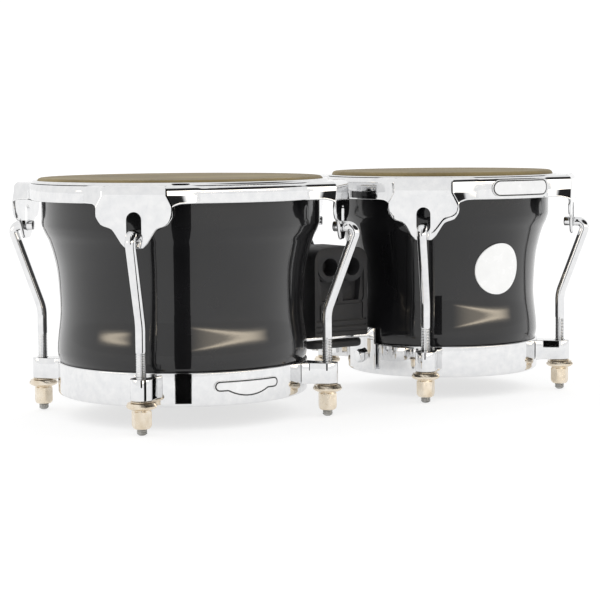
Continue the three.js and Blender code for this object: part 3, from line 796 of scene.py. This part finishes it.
def rod_ring(centre, direction, radius_at, sides):
    """A ring round the rod's centre line, whose radius may change round it."""
    across = Vector((direction.y, -direction.x))
    ring = []
    for side in range(sides):
        turn = 2 * math.pi * side / sides
        radius = radius_at(turn)
        point = centre + across * radius * math.cos(turn)
        ring.append(Vector((point.x, radius * math.sin(turn), point.y)))
    return ring


def build_rod(drum, number, degrees):
    sides = 20
    rows = []
    end = drum["rod_end"]
    up = Vector((0, 1))
    foot = drum["rod_circle"]
    for pull, rise in ((3.6, 0), (2.2, 0.2), (1.2, 0.7), (0.8, 1.2)):
        rows.append(rod_ring(Vector((foot, end + rise)), up, lambda turn: ROD_RADIUS - pull, sides))
    start = end + 1.4
    turns = int((THREAD_TOP - start) / THREAD_PITCH)
    for step in range(turns * 5):
        height = start + step * THREAD_PITCH / 5

        def thread(turn, height=height):
            phase = (height / THREAD_PITCH - turn / (2 * math.pi)) % 1
            return ROD_RADIUS - THREAD_DEPTH * abs(2 * phase - 1)

        rows.append(rod_ring(Vector((foot, height)), up, thread, sides))
    path = rod_path(drum)
    for index, point in enumerate(path):
        direction = (path[min(index + 1, len(path) - 1)] - path[max(index - 1, 0)]).normalized()
        rows.append(rod_ring(point, direction, lambda turn: ROD_RADIUS, sides))
    back = Vector((-1, 0))
    for pull, run in ((0.3, 0.5), (1.1, 0.9)):
        rows.append(rod_ring(path[-1] + back * run, back, lambda turn: ROD_RADIUS - pull, sides))
    name = f"{drum['name']}_tuning_rod_{number}"
    piece = new_piece(f"{name}_threaded", loft(rows), drum_place(drum, degrees), "chrome", 60)
    piece.data.materials.append(MATERIALS["rod_steel"])
    for face in piece.data.polygons:
        face.material_index = 1 if face.center.z < drum["origin"].z + (end + ROD_TIP) * MM else 0
    stand_for(piece, name)


def build_bracket(drum, number, degrees):
    """The lug that carries the rod at the ring: a round nose, and sides that spread to the ring."""
    ring_face = drum["ring"] + GAP
    foot_angle = math.degrees(math.asin(LUG_FOOT / ring_face))
    nose = arc(drum["rod_circle"], 0, LUG_NOSE, -90, 90, 24)
    back = arc(0, 0, ring_face, foot_angle, -foot_angle, 10)
    waist = ring_face + 5
    outline = resample([*nose, Vector((waist, LUG_NOSE)), *back, Vector((waist, -LUG_NOSE))], 1.0)
    centre = Vector((drum["rod_circle"], 0))
    bore = [centre + (point - centre).normalized() * ROD_BORE for point in outline]
    rows = prism_rows(outline, LUG_BOTTOM, LUG_TOP, 0.7)
    rows = [[Vector((*p, LUG_BOTTOM)) for p in bore], *rows, [Vector((*p, LUG_TOP)) for p in bore]]
    name = f"{drum['name']}_lug_bracket_{number}"
    piece = new_piece(f"{name}_cast", loft(rows, closed=True), drum_place(drum, degrees), "chrome", 35)
    stand_for(piece, name)


def build_washer(drum, number, degrees):
    top = LUG_BOTTOM - GAP
    bottom = top - WASHER_THICKNESS
    corners = ((ROD_BORE, bottom, 0.3), (WASHER_RADIUS, bottom, 0.6),
               (WASHER_RADIUS, top, 0.3), (ROD_BORE, top, 0.3))
    shape = lathe([tuple(point) for point in fillet(corners, 3)], 64)
    name = f"{drum['name']}_washer_{number}"
    piece = new_piece(f"{name}_turned", shape, drum_place(drum, degrees, drum["rod_circle"]), "nut_nickel")
    stand_for(piece, name)


def hex_ring(flat, limit, height, sides, turn_degrees=0.0):
    """A ring round a hexagon bar, flat from its axis, turned down to a limiting radius."""
    ring = []
    for side in range(sides):
        turn = 2 * math.pi * side / sides
        from_flat = (turn + math.pi / 6) % (math.pi / 3) - math.pi / 6
        radius = min(flat / math.cos(from_flat), limit)
        aim = turn + math.radians(turn_degrees)
        ring.append(Vector((radius * math.cos(aim), radius * math.sin(aim), height)))
    return ring


def build_nut(drum, number, degrees):
    """A flanged hexagon nut with a groove under its flange and a chamfered end."""
    top = LUG_BOTTOM - WASHER_THICKNESS - 2 * GAP
    under = top - FLANGE_THICKNESS
    turn = drum["nut_turns"][number - 1]
    flat = HEX_ACROSS_FLATS / 2
    corner = flat / math.cos(math.pi / 6)
    flange = fillet(((FLANGE_RADIUS, top, 1.0), (FLANGE_RADIUS, top - 3.4, 2.2),
                     (FLANGE_RADIUS - 3.2, under, 0.5), (6.4, under)), 6, closed=False)[1:]
    spin = Matrix.Rotation(math.radians(turn), 3, "Z")
    rows = [circle(ROD_BORE, top, 96), circle(FLANGE_RADIUS - 1, top, 96)]
    rows += [[spin @ p for p in circle(*point, 96)] for point in flange]
    heights = ((6.3, under - 0.1), (6.3, under - 0.7), (corner, under - 1.3), (corner, under - 1.9),
               (corner, NUT_BOTTOM + 2.6), (7.0, NUT_BOTTOM + 1.5), (6.5, NUT_BOTTOM + 0.8),
               (5.7, NUT_BOTTOM))
    rows += [hex_ring(flat, limit, height, 96, turn) for limit, height in heights]
    rows.append(circle(ROD_BORE, NUT_BOTTOM, 96))
    name = f"{drum['name']}_tuning_nut_{number}"
    place = drum_place(drum, degrees, drum["rod_circle"])
    piece = new_piece(f"{name}_hexagon", loft(rows, closed=True), place, "nut_nickel", 28)
    stand_for(piece, name)


# ---- Centre block and its mounting, drawn with X across from the block's middle and Z up ----


def block_place():
    low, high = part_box("centre_block")
    height = low.z - BLOCK_BOTTOM * MM
    return Matrix.Translation(((low.x + high.x) / 2, (low.y + high.y) / 2, height)) @ Matrix.Scale(MM, 4)


def front_prism(outline, front, back, edge=0.0):
    """A shape drawn as seen from the front that runs from one Y to another."""
    if edge:
        vertices, faces = loft(prism_rows(outline, front, back, edge))
    else:
        vertices, faces = loft([[Vector((*p, y)) for p in outline] for y in (front, back)])
    return front_frame(vertices), faces


def rectangle(left, right, bottom, top, radius=0.6):
    corners = ((left, bottom), (right, bottom), (right, top), (left, top))
    return fillet([(*corner, radius) for corner in corners], 3)


def block_outline(pull=0.0):
    half = BLOCK_WIDTH / 2 - pull
    top = BLOCK_TOP - pull
    return fillet(((-half, BLOCK_BOTTOM + pull, 0.8), (half, BLOCK_BOTTOM + pull, 0.8),
                   (half, top, BLOCK_CORNER), (-half, top, BLOCK_CORNER)), 10)


def build_block():
    """The moulded block: each face is sunk inside a border, with bosses, pockets, a panel and ridges."""
    place = block_place()
    face = BLOCK_DEPTH / 2
    piece = new_piece("centre_block_moulded", front_prism(block_outline(), -face, face), place, "moulding")
    border, sunk = 3.4, 1.5

    def cut_both(outline, depth, above=1.0):
        for side in (-1, 1):
            near, far = sorted((side * (face - depth), side * (face + above)))
            tool = new_piece("block_tool", front_prism(outline, near, far), place, "moulding")
            combine(piece, tool, "DIFFERENCE")

    def add_both(outline, depth, rise):
        for side in (-1, 1):
            near, far = sorted((side * (face - depth), side * (face - rise)))
            tool = new_piece("block_tool", front_prism(outline, near, far), place, "moulding")
            combine(piece, tool, "UNION")

    cut_both(rectangle(border - 26, 26 - border, 62.5, 99, 6), sunk)
    for hand in (-1, 1):
        across = hand * SOCKET_SPACING / 2
        add_both(arc(across, SOCKET_HEIGHT, SOCKET_RADIUS + 4.4, 0, 357, 60), sunk + 1, 0.02)
    for hand in (-1, 1):
        across = hand * SOCKET_SPACING / 2
        cut_both(arc(across, SOCKET_HEIGHT, SOCKET_RADIUS, 0, 354, 50), SOCKET_DEPTH)
        middle = hand * POCKET_SPACING / 2
        left, right = middle - POCKET_WIDTH / 2, middle + POCKET_WIDTH / 2
        crown = arc(across, SOCKET_HEIGHT, SOCKET_RADIUS + 5.2, 180 + 42, 360 - 42, 12)
        hollow = [Vector((left, POCKET_BOTTOM)), Vector((right, POCKET_BOTTOM)), *crown[::-1]]
        cut_both(hollow, POCKET_DEPTH)
    cut_both(rectangle(-21.5, 21.5, 62.2, 63.4, 0.3), 1.2)
    cut_both(rectangle(20.3, 21.5, 50, 63.4, 0.3), 1.2)
    cut_both(rectangle(-21.5, -20.3, 50, 63.4, 0.3), 1.2)
    for height, width in ((48.6, 1.4), (43.9, 1.2), (39.6, 1.0)):
        cut_both(rectangle(-24.5, 24.5, height, height + width, 0.3), 1.2)
    soften(piece, 0.35)
    stand_for(piece, "centre_block")


def build_mounting_plate():
    place = block_place()
    low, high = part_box("mounting_plate")
    middle = place.translation.x
    left, right = (low.x - middle) / MM, (high.x - middle) / MM
    t, bottom, top = PLATE_THICKNESS, PLATE_TOP - PLATE_THICKNESS, PLATE_TOP + FLARE_RISE
    corners = ((left, PLATE_LEG_BOTTOM, 0.8), (left + t, PLATE_LEG_BOTTOM, 0.8), (left + t, bottom, 2.5),
               (right - t, bottom, 2.5), (right - t, PLATE_LEG_BOTTOM, 0.8), (right, PLATE_LEG_BOTTOM, 0.8),
               (right, top, 1.4), (right - t, top, 1.0), (right - t - FLARE_RUN, PLATE_TOP, 3),
               (left + t + FLARE_RUN, PLATE_TOP, 3), (left + t, top, 1.0), (left, top, 1.4))
    outline = fillet(corners, 4)
    piece = new_piece("mounting_plate_bent", front_prism(outline, -PLATE_HALF_DEPTH, PLATE_HALF_DEPTH, 0.7),
                      place, "chrome")
    stand_for(piece, "mounting_plate")


def build_clamp_bar():
    place = block_place()
    top = PLATE_TOP - PLATE_THICKNESS - GAP
    half_x, half_y = CLAMP_LENGTH / 2, CLAMP_DEPTH / 2
    corners = ((-half_x, -half_y, 9), (half_x, -half_y, 9), (half_x, half_y, 9), (-half_x, half_y, 9))
    shape = loft(prism_rows(fillet(corners, 8), top - CLAMP_HEIGHT, top, 2.2))
    piece = new_piece("clamp_bar_moulded", shape, place, "moulding")
    stand_for(piece, "clamp_bar")


def bolt_rows(head_near, head_far, tip):
    """A hexagon bolt along Z: head first, then the plain shank to its tip."""
    way = math.copysign(1, tip - head_near)
    flat = BOLT_HEAD_RADIUS * math.cos(math.pi / 6)
    head = ((flat - 0.4, head_near), (flat + 0.1, head_near + way * 0.3),
            (BOLT_HEAD_RADIUS, head_near + way * 0.8), (BOLT_HEAD_RADIUS, head_far))
    rows = [hex_ring(flat, limit, height, 48) for limit, height in head]
    rows += [circle(BOLT_RADIUS, head_far, 48), circle(BOLT_RADIUS, tip - way * 0.6, 48)]
    return rows + [circle(BOLT_RADIUS - 0.6, tip, 48)]


def build_bolts():
    place = block_place()
    low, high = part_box("block_bolt_front")
    bottom, top = ((corner.z - place.translation.z) / MM for corner in (low, high))
    for name, hand in (("block_bolt_front", -1), ("block_bolt_rear", 1)):
        rows = bolt_rows(bottom, bottom + BOLT_HEAD, top)
        beside = place @ Matrix.Translation((0, hand * BOLT_SPREAD, 0))
        piece = new_piece(name + "_hexagon", loft(rows), beside, "chrome")
        stand_for(piece, name)
    for name, head_side in (("hembra_ring_bolt", 1), ("macho_ring_bolt", -1)):
        low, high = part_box(name)
        ends = [(x - place.translation.x) / MM for x in (low.x, high.x)]
        tip, head_near = ends if head_side > 0 else ends[::-1]
        vertices, faces = loft(bolt_rows(head_near, head_near - head_side * BOLT_HEAD, tip))
        lying = [Vector((v.z, v.x, v.y + RING_BOLT_HEIGHT)) for v in vertices]
        piece = new_piece(name + "_hexagon", (lying, faces), place, "chrome")
        stand_for(piece, name)


# ---- Badge and labels: plain plates that follow the round surface behind them ----


def wrap(outline, radius_at, inner, outer):
    """A plate whose outline is seen from the front, wrapped on a round wall facing -Y."""
    rows = []
    for lift, pull in ((inner, 0), (outer - 0.25, 0), (outer, 0.3)):
        row = []
        for point in inset(outline, pull):
            radius = radius_at(point.y) + lift
            row.append(Vector((point.x, -math.sqrt(radius ** 2 - point.x ** 2), point.y)))
        rows.append(row)
    return rows


def wrapped_field(name, drum, outline, radius_at, inner, outer, material):
    """A wrapped plate filled in rings towards its middle, so that it stays on the curve."""
    rows = wrap(outline, radius_at, inner, outer)
    middle = sum(outline, Vector((0, 0))) / len(outline)
    front = inset(outline, 0.3)
    for share in (0.85, 0.6, 0.35, 0.12):
        row = []
        for point in front:
            moved = middle + (point - middle) * share
            radius = radius_at(moved.y) + outer
            row.append(Vector((moved.x, -math.sqrt(radius ** 2 - moved.x ** 2), moved.y)))
        rows.append(row)
    backs = []
    for row in rows[:2:-1]:
        backs.append([Vector((p.x, p.y + (outer - inner), p.z)) for p in row])
    return new_piece(name, loft(backs + rows), drum_place(drum), material)


def wrapped_line(name, drum, outline, width, radius_at, inner, outer, material):
    """A printed line that follows an outline, standing just proud of the plate."""
    rows = []
    for pull, lift in ((0, inner), (0, outer), (width, outer), (width, inner)):
        row = []
        for point in inset(outline, pull):
            radius = radius_at(point.y) + lift
            row.append(Vector((point.x, -math.sqrt(radius ** 2 - point.x ** 2), point.y)))
        rows.append(row)
    return new_piece(name, loft(rows, closed=True), drum_place(drum), material)


def build_shell_badge():
    def radius_at(height):
        return shell_radius(MACHO, height)

    outline = arc(BADGE_ACROSS, BADGE_HEIGHT, BADGE_RADIUS, 0, 357.5, 143)
    piece = wrapped_field("macho_shell_badge_enamel", MACHO, outline, radius_at,
                          GAP, GAP + BADGE_THICKNESS, "badge")
    stand_for(piece, "macho_shell_badge")


def label_outline(label):
    """A capsule, with an arc that hangs below its straight lower edge when it has a swell."""
    outline = capsule(label["width"], label["height"], label["across"], label["up"], 10)
    if label["swell"]:
        half, drop = label["swell_half"], label["swell"]
        radius = (half ** 2 + drop ** 2) / (2 * drop)
        lowest = label["up"] - label["height"] / 2 - drop
        spread = math.degrees(math.asin(half / radius))
        outline += arc(label["across"], lowest + radius, radius, 270 - spread, 270 + spread, 16)
        middle = Vector((label["across"], label["up"]))
        outline.sort(key=lambda point: math.atan2(point.y - middle.y, point.x - middle.x))
    return resample(outline, 0.8)


def build_label(drum, node, label, radius, body, line_width):
    def radius_at(height):
        return radius

    outline = label_outline(label)
    piece = wrapped_field(node + "_enamel", drum, outline, radius_at,
                          GAP, GAP + BADGE_THICKNESS - PRINT_RISE, "label")
    stand_for(piece, node)
    line = wrapped_line(node + "_border", drum, inset(outline, 0.4), line_width, radius_at,
                        GAP + 0.4, GAP + BADGE_THICKNESS, "print")
    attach(line, body)


# ---- Studio ----

# Gaps in the white surroundings that show as black stripes: the first edge, the second, and the height.
GAPS = {
    "gap_near": (Vector((-0.2056, -0.1237, 0)), Vector((-0.183, -0.1365, 0)), 0.35),
    "gap_far": (Vector((-0.598, -0.637, 0)), Vector((-0.425, -0.7357, 0)), 1.5),
}
# Each lamp's heading, the cosine at the edge of its glow, the direction and steepness of its lower
# edge, the height of that edge and its strength.
LAMPS = ((-74, 0.74, -165, 0.17, -0.066, 12), (174, 0.93, 171, 0.038, 0.088, 10))
# A lamp's glow by height, with its bright lower edge at 0.1.
GLOW = ((0.068, 0), (0.088, 0.15), (0.1, 1), (0.115, 0.22), (0.2, 0.2), (0.3, 0))
GLOW_EDGE = 0.1
GLOW_COLOUR = (1, 0.86, 0.66, 1)
DARK_HEADING = -60


def add_card(name, corners, material):
    """A card that only shows in reflections."""
    mesh = bpy.data.meshes.new(name)
    mesh.from_pydata(corners, [], [(0, 1, 2, 3)])
    card = bpy.data.objects.new(name, mesh)
    mesh.materials.append(material)
    card.visible_camera = False
    card.visible_diffuse = False
    card.visible_shadow = False
    bpy.context.scene.collection.objects.link(card)


def black_card_material():
    material, tree, shader = new_material("black_card", Roughness=1.0)
    shader.inputs["Specular IOR Level"].default_value = 0
    shader.inputs["Base Color"].default_value = (0.002, 0.002, 0.002, 1)
    return material


def maths(tree, operation, first, second):
    """A maths node over two sockets or numbers."""
    node = tree.nodes.new("ShaderNodeMath")
    node.operation = operation
    for target, value in zip(node.inputs, (first, second)):
        if isinstance(value, (int, float)):
            target.default_value = value
        else:
            tree.links.new(value, target)
    return node.outputs[0]


def towards(tree, x, y, degrees):
    """How far a direction points along a heading."""
    return maths(tree, "ADD", maths(tree, "MULTIPLY", x, math.cos(math.radians(degrees))),
                 maths(tree, "MULTIPLY", y, math.sin(math.radians(degrees))))


def smooth_step(tree, source, low, high):
    step = tree.nodes.new("ShaderNodeMapRange")
    step.interpolation_type = "SMOOTHSTEP"
    step.inputs["From Min"].default_value = low
    step.inputs["From Max"].default_value = high
    tree.links.new(source, step.inputs["Value"])
    return step.outputs["Result"]


def add_world():
    """White to the eye. Reflections see pale walls, two warm lamps and a dark corner of the ceiling."""
    world = bpy.data.worlds.new("studio")
    world.use_nodes = True
    tree = world.node_tree
    pale = tree.nodes["Background"]
    pale.inputs["Color"].default_value = (1, 1, 1, 1)
    pale.inputs["Strength"].default_value = 1.08

    place = tree.nodes.new("ShaderNodeTexCoord")
    split = tree.nodes.new("ShaderNodeSeparateXYZ")
    link(tree, place, "Generated", split, "Vector")
    x, y, height = split.outputs
    glow = 0.0
    for heading, edge, side, slope, lower, strength in LAMPS:
        across = towards(tree, x, y, side + 90)
        above = maths(tree, "SUBTRACT", height, maths(tree, "MULTIPLY", across, slope))
        stops = [(place, (share, share, share)) for place, share in GLOW]
        profile = ramp_of(tree, maths(tree, "ADD", above, GLOW_EDGE - lower), stops).outputs["Color"]
        aimed = smooth_step(tree, towards(tree, x, y, heading), edge, 1.0)
        lit = maths(tree, "MULTIPLY", profile, maths(tree, "MULTIPLY", aimed, strength))
        glow = maths(tree, "ADD", glow, lit)
    dark = maths(tree, "MULTIPLY", smooth_step(tree, towards(tree, x, y, DARK_HEADING), 0.4, 0.6),
                 smooth_step(tree, height, 0.28, 0.36))
    walls = maths(tree, "SUBTRACT", 1.0, maths(tree, "MULTIPLY", dark, 0.98))
    warm = tree.nodes.new("ShaderNodeMix")
    warm.data_type = "RGBA"
    warm.blend_type = "ADD"
    warm.inputs[7].default_value = GLOW_COLOUR
    tree.links.new(glow, warm.inputs[0])
    tree.links.new(walls, warm.inputs[6])
    warm.clamp_factor = False
    seen = tree.nodes.new("ShaderNodeBackground")
    tree.links.new(warm.outputs[2], seen.inputs["Color"])

    choice = tree.nodes.new("ShaderNodeMixShader")
    rays = tree.nodes.new("ShaderNodeLightPath")
    link(tree, rays, "Is Glossy Ray", choice, "Fac")
    tree.links.new(pale.outputs[0], choice.inputs[1])
    tree.links.new(seen.outputs[0], choice.inputs[2])
    tree.links.new(choice.outputs[0], tree.nodes["World Output"].inputs["Surface"])
    bpy.context.scene.world = world


def add_studio():
    mesh = bpy.data.meshes.new("floor")
    reach = 30
    mesh.from_pydata([(-reach, -reach, 0), (reach, -reach, 0), (reach, reach, 0), (-reach, reach, 0)],
                     [], [(0, 1, 2, 3)])
    floor = bpy.data.objects.new("floor", mesh)
    mesh.materials.append(floor_material())
    bpy.context.scene.collection.objects.link(floor)

    black = black_card_material()
    for name, (left, right, height) in GAPS.items():
        upright = Vector((0, 0, height))
        add_card(name, [left, right, right + upright, left + upright], black)
    add_world()
    bpy.context.scene.view_settings.view_transform = "Standard"


# ---- Assembly ----

add_camera()
add_studio()
for each_drum in (HEMBRA, MACHO):
    build_shell(each_drum)
    build_skin(each_drum)
    build_flesh_hoop(each_drum)
    build_bottom_ring(each_drum)
    build_rim(each_drum)
    for lug_number, lug_degrees in enumerate(LUG_ANGLES, 1):
        build_rod(each_drum, lug_number, lug_degrees)
        build_bracket(each_drum, lug_number, lug_degrees)
        build_washer(each_drum, lug_number, lug_degrees)
        build_nut(each_drum, lug_number, lug_degrees)
build_block()
build_mounting_plate()
build_clamp_bar()
build_bolts()
build_shell_badge()
build_label(HEMBRA, "hembra_ring_label", RING_LABEL, HEMBRA["ring"], "drum_bodies", 1.0)
build_label(MACHO, "macho_rim_label", RIM_LABEL, MACHO["band"] + GAP, "macho_rim_set", 1.0)
